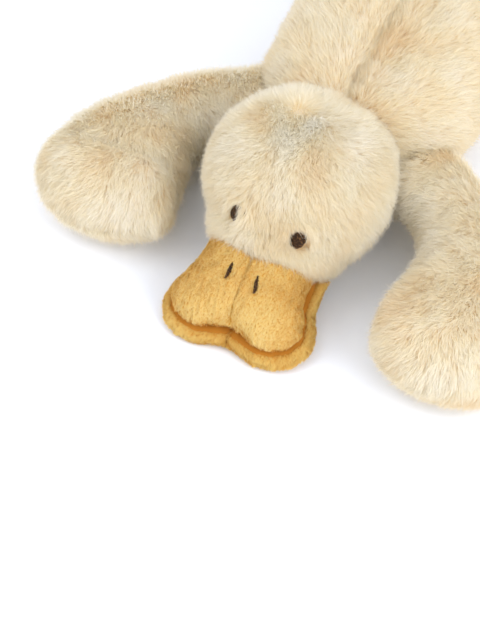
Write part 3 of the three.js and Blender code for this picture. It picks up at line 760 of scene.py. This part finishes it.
# Legs
# Each leg is a short tube of the same plush, sewn to the rump and lying out behind it.
LEG_PILE_ROOM = 5 * MM
for side, sign in (("left", 1), ("right", -1)):
    nodes = [f"leg_{side}_skin", f"leg_{side}_filling"]
    cover, seam = stuffed_cover(f"leg_{side}_cover", nodes, ["body_skin", f"foot_{side}_skin"],
        cell=4.5 * MM, puff=2 * MM)
    drawn_in(cover, seam, LEG_PILE_ROOM)
    finished(cover, nodes, backing_knit)
    bend(cover)
    made = pile(f"leg_{side}_pile", cover,
        lambda at, normals: np.tile([0.5 * sign, 0.9, -0.3], (len(at), 1)), seed=41 + sign)
    bend(made)

# Tail
# A small upturned cone of the same plush, sewn to the rump over the end of the back seam.
TAIL_PILE_ROOM = 5 * MM
tail_nodes = ["tail_skin", "tail_filling"]
tail_cover, seam = stuffed_cover("tail_cover", tail_nodes, ["body_skin"],
    cell=3.5 * MM, puff=1 * MM)
drawn_in(tail_cover, seam, TAIL_PILE_ROOM)
finished(tail_cover, tail_nodes, backing_knit)
bend(tail_cover)
made = pile("tail_pile", tail_cover,
    lambda at, normals: np.tile([0, 0.87, 0.35], (len(at), 1)), seed=51)
bend(made)

# Bill
# Two cushions of mustard velour: a full upper one with a seam down its middle, on a wider, flatter
# lower one that shows as a soft rim all round. Both are sewn into the seam of the face.
VELOUR_PILE = 2.2 * MM
VELOUR_ROOM = 1 * MM
RIM_PILE = 3 * MM
RIM_ROLL = 3.2 * MM # how high the lower cushion's edge is rolled up
RIM_WIDE = 8 * MM
BILL_TURN = math.radians(2) # towards the duck's left
MIDDLE_SEAM_WIDE = 0.9 * MM
MIDDLE_SEAM_DEEP = 1.9 * MM
velour, tree = new_material("short-pile velour backing")
place = add_node(tree, "ShaderNodeTexCoord")
nap = add_node(tree, "ShaderNodeTexNoise",
    {"Vector": place.outputs["Object"], "Scale": 650.0, "Detail": 3.0})
nap_and_shade_colour = ramp(tree, nap.outputs[0], (0.3, 0xDCA848), (0.7, 0xE8BC5E))
# The crease attribute mixes in a darker brown, a painted shade in the crease between the two cushions.
crease = add_node(tree, "ShaderNodeAttribute", attribute_name="crease")
nap_and_shade_colour = add_node(tree, "ShaderNodeMix", {"Factor": crease.outputs["Fac"], 6: nap_and_shade_colour,
    7: linear(0xBA7C2C)}, data_type="RGBA")
velour_cloth = add_node(tree, "ShaderNodeBsdfPrincipled", {"Base Color": nap_and_shade_colour.outputs[2],
    "Roughness": 0.85, "Specular IOR Level": 0.15})
add_node(tree, "ShaderNodeOutputMaterial", {"Surface": velour_cloth.outputs[0]})

# Velour's own fibres are short, even and dense: mustard at the roots, and paler at the tips.
# The deeper mustard at the roots is partly the velour's own colour and partly a painted shade where
# the fibres lean together.
velour_fibre = fibre_material("sheared polyester velour",
    [(0, 0xE0AE40), (0.5, 0xFAE89C), (1, 0xFFF7D0)],
    [(0, 0xF0D3A0), (0.45, 0xFCF0DA), (1, 0xFFFBF4)],
    rough=0.6, shine=0.3, see_through=0.28)


def velour_pile(name, cover, comb, seed, *, length=VELOUR_PILE, **settings):
    return pile(name, cover, comb, seed=seed, length=length, density=9e6,
        tuft=1.3 * MM, thick=0.33 * MM, lift=(44, 20), sway=0.3, draw=0.3,
        fibre=velour_fibre, slot="mustard_velour", **settings)


def finer(made):
    """One subdivision of a cover, applied."""
    made.modifiers.new("finer", "SUBSURF").levels = 1
    settle(made)


def rippled(made, across, along, deep, seed):
    """Fine lengthwise wrinkles, where short pile is dragged one way."""
    shift = Vector((seed, 2.7 * seed, 0))
    for vert, normal in zip(made.data.vertices, [v.normal.copy() for v in made.data.vertices]):
        at = Vector((vert.co @ across / (2 * MM), vert.co @ along / (9 * MM), 0)) + shift
        vert.co += deep * noise.noise(at) * normal
    made.data.update()


nostrils = {side: patch_frame(f"nostril_{side}") for side in ("left", "right")}
bill_up = Vector(np.mean([nostril[3] for nostril in nostrils.values()], axis=0)).normalized()
bill_ahead = Vector((math.sin(BILL_TURN), -math.cos(BILL_TURN), 0))
bill_ahead = (bill_ahead - (bill_ahead @ bill_up) * bill_up).normalized()
bill_side = bill_ahead.cross(bill_up)
bill_middle = Vector(joints["bill_flex"]["pos_m"])


def from_middle(places):
    """How far each place lies to the side of the bill's middle line."""
    return (places - np.array(bill_middle)) @ np.array(bill_side)


upper_seam = BVHTree.FromBMesh(node_shape("bill_upper_skin"))
bill_covers = {}
for part, neighbours in (("upper", ["head_skin"]), ("lower", ["head_skin", "bill_upper_skin"])):
    nodes = [f"bill_{part}_skin", f"bill_{part}_filling"]
    cover, seam = stuffed_cover(f"bill_{part}", nodes, neighbours,
        cell=2 * MM, puff=2 * MM, smoothing=4)
    drawn_in(cover, seam, VELOUR_ROOM)
    finer(cover)
    if part == "lower":
        for vert in cover.data.vertices:
            out = upper_seam.find_nearest(vert.co)[3] / RIM_WIDE
            if vert.normal @ bill_up > 0 and 0 < out < 1:
                vert.co += RIM_ROLL * math.sin(math.pi * out) * bill_up
        cover.data.update()
    rippled(cover, bill_side, bill_ahead, (0.8 if part == "upper" else 0.4) * MM, seed=5)
    groove(cover, from_middle, MIDDLE_SEAM_WIDE, MIDDLE_SEAM_DEEP, bill_up)
    finished(cover, nodes, velour)
    bill_covers[part] = cover
head_seam = BVHTree.FromBMesh(node_shape("head_skin", "head_filling"))
lower_seam = BVHTree.FromBMesh(node_shape("bill_lower_skin"))
# Painted shade: each cushion darkens within 1.5 to 3.5 mm of the other, in the crease between them.
for cover, other in ((bill_covers["upper"], lower_seam), (bill_covers["lower"], upper_seam)):
    shade = [1 - smoothstep(other.find_nearest(vert.co)[3], 1.5 * MM, 3.5 * MM)
        for vert in cover.data.vertices]
    cover.data.attributes.new("crease", "FLOAT", "POINT").data.foreach_set("value", shade)


def outside(tree, at, gap):
    """True outside the surface, and inside it within the gap."""
    near = [tree.find_nearest(Vector(p)) for p in at]
    return np.array([(Vector(p) - found[0]) @ found[1] > 0 or found[3] < gap
        for p, found in zip(at, near)])


nostril_spots = [(middle, along, across, outward, sizes[0] / 2, 0.9 * MM)
    for middle, along, across, outward, sizes in nostrils.values()]


def bill_keep(at):
    """Leaves the seam, the crease between the cushions and the part inside the face bare."""
    free = outside(head_seam, at, 1 * MM) & (np.abs(from_middle(at)) > 0.35 * MM)
    if part == "upper":
        return free & far_from(lower_seam, at, 2 * MM)
    return free & far_from(upper_seam, at, 1.6 * MM)


def bill_comb(places, normals):
    """Along the bill, and outwards all round on the rim."""
    ahead = np.tile(bill_ahead, (len(places), 1))
    if part == "upper":
        return ahead
    return ahead + 2 * unit((places - np.array(bill_middle)) * [1, 1, 0])


def nap_streaks_and_sheen(places):
    """Fine streaks of stroked nap along the bill: raised strands, with a painted sheen in their
    colour.
    """
    run = np.stack([places @ np.array(bill_side) / 1.3, places @ np.array(bill_ahead) / 6,
        places @ np.array(bill_up) / 3], axis=1)
    return 0.36 * wander(run, 1 * MM, 7)


for part, cover in bill_covers.items():
    made = velour_pile(f"bill_{part}_pile", cover, bill_comb, 71 + len(part), keep=bill_keep,
        bare=nostril_spots, length=VELOUR_PILE if part == "upper" else RIM_PILE, grain=nap_streaks_and_sheen,
        bloom=lambda at: np.full(len(at), -0.1 if part == "upper" else -0.65))
    for piece in (cover, made):
        bend(piece)

# Nostrils
# Two short lines of the same thread, stitched by hand through the upper cushion of the bill.
for i, side in enumerate(("left", "right")):
    made = satin(f"nostril_{side}_stitches", f"nostril_{side}", 65 + i, slant=0.9, crown=0.7 * MM,
        proud=0.6 * MM, blunt=8, thick=0.5 * MM, uneven=0.2 * MM)
    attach(made, "bill")

# Feet
# Each foot is a flat cushion of the same velour with three toes, sewn to the end of its leg.
for side, sign in (("left", 1), ("right", -1)):
    nodes = [f"foot_{side}_skin", f"foot_{side}_filling"]
    cover, seam = stuffed_cover(f"foot_{side}", nodes, [f"leg_{side}_skin"],
        cell=2.5 * MM, puff=2 * MM, smoothing=4)
    drawn_in(cover, seam, VELOUR_ROOM)
    finished(cover, nodes, velour)
    made = velour_pile(f"foot_{side}_pile", cover,
        lambda at, normals: np.tile([0.55 * sign, 0.83, 0], (len(at), 1)), 81 + sign)
    for piece in (cover, made):
        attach(piece, f"foot_{side}")
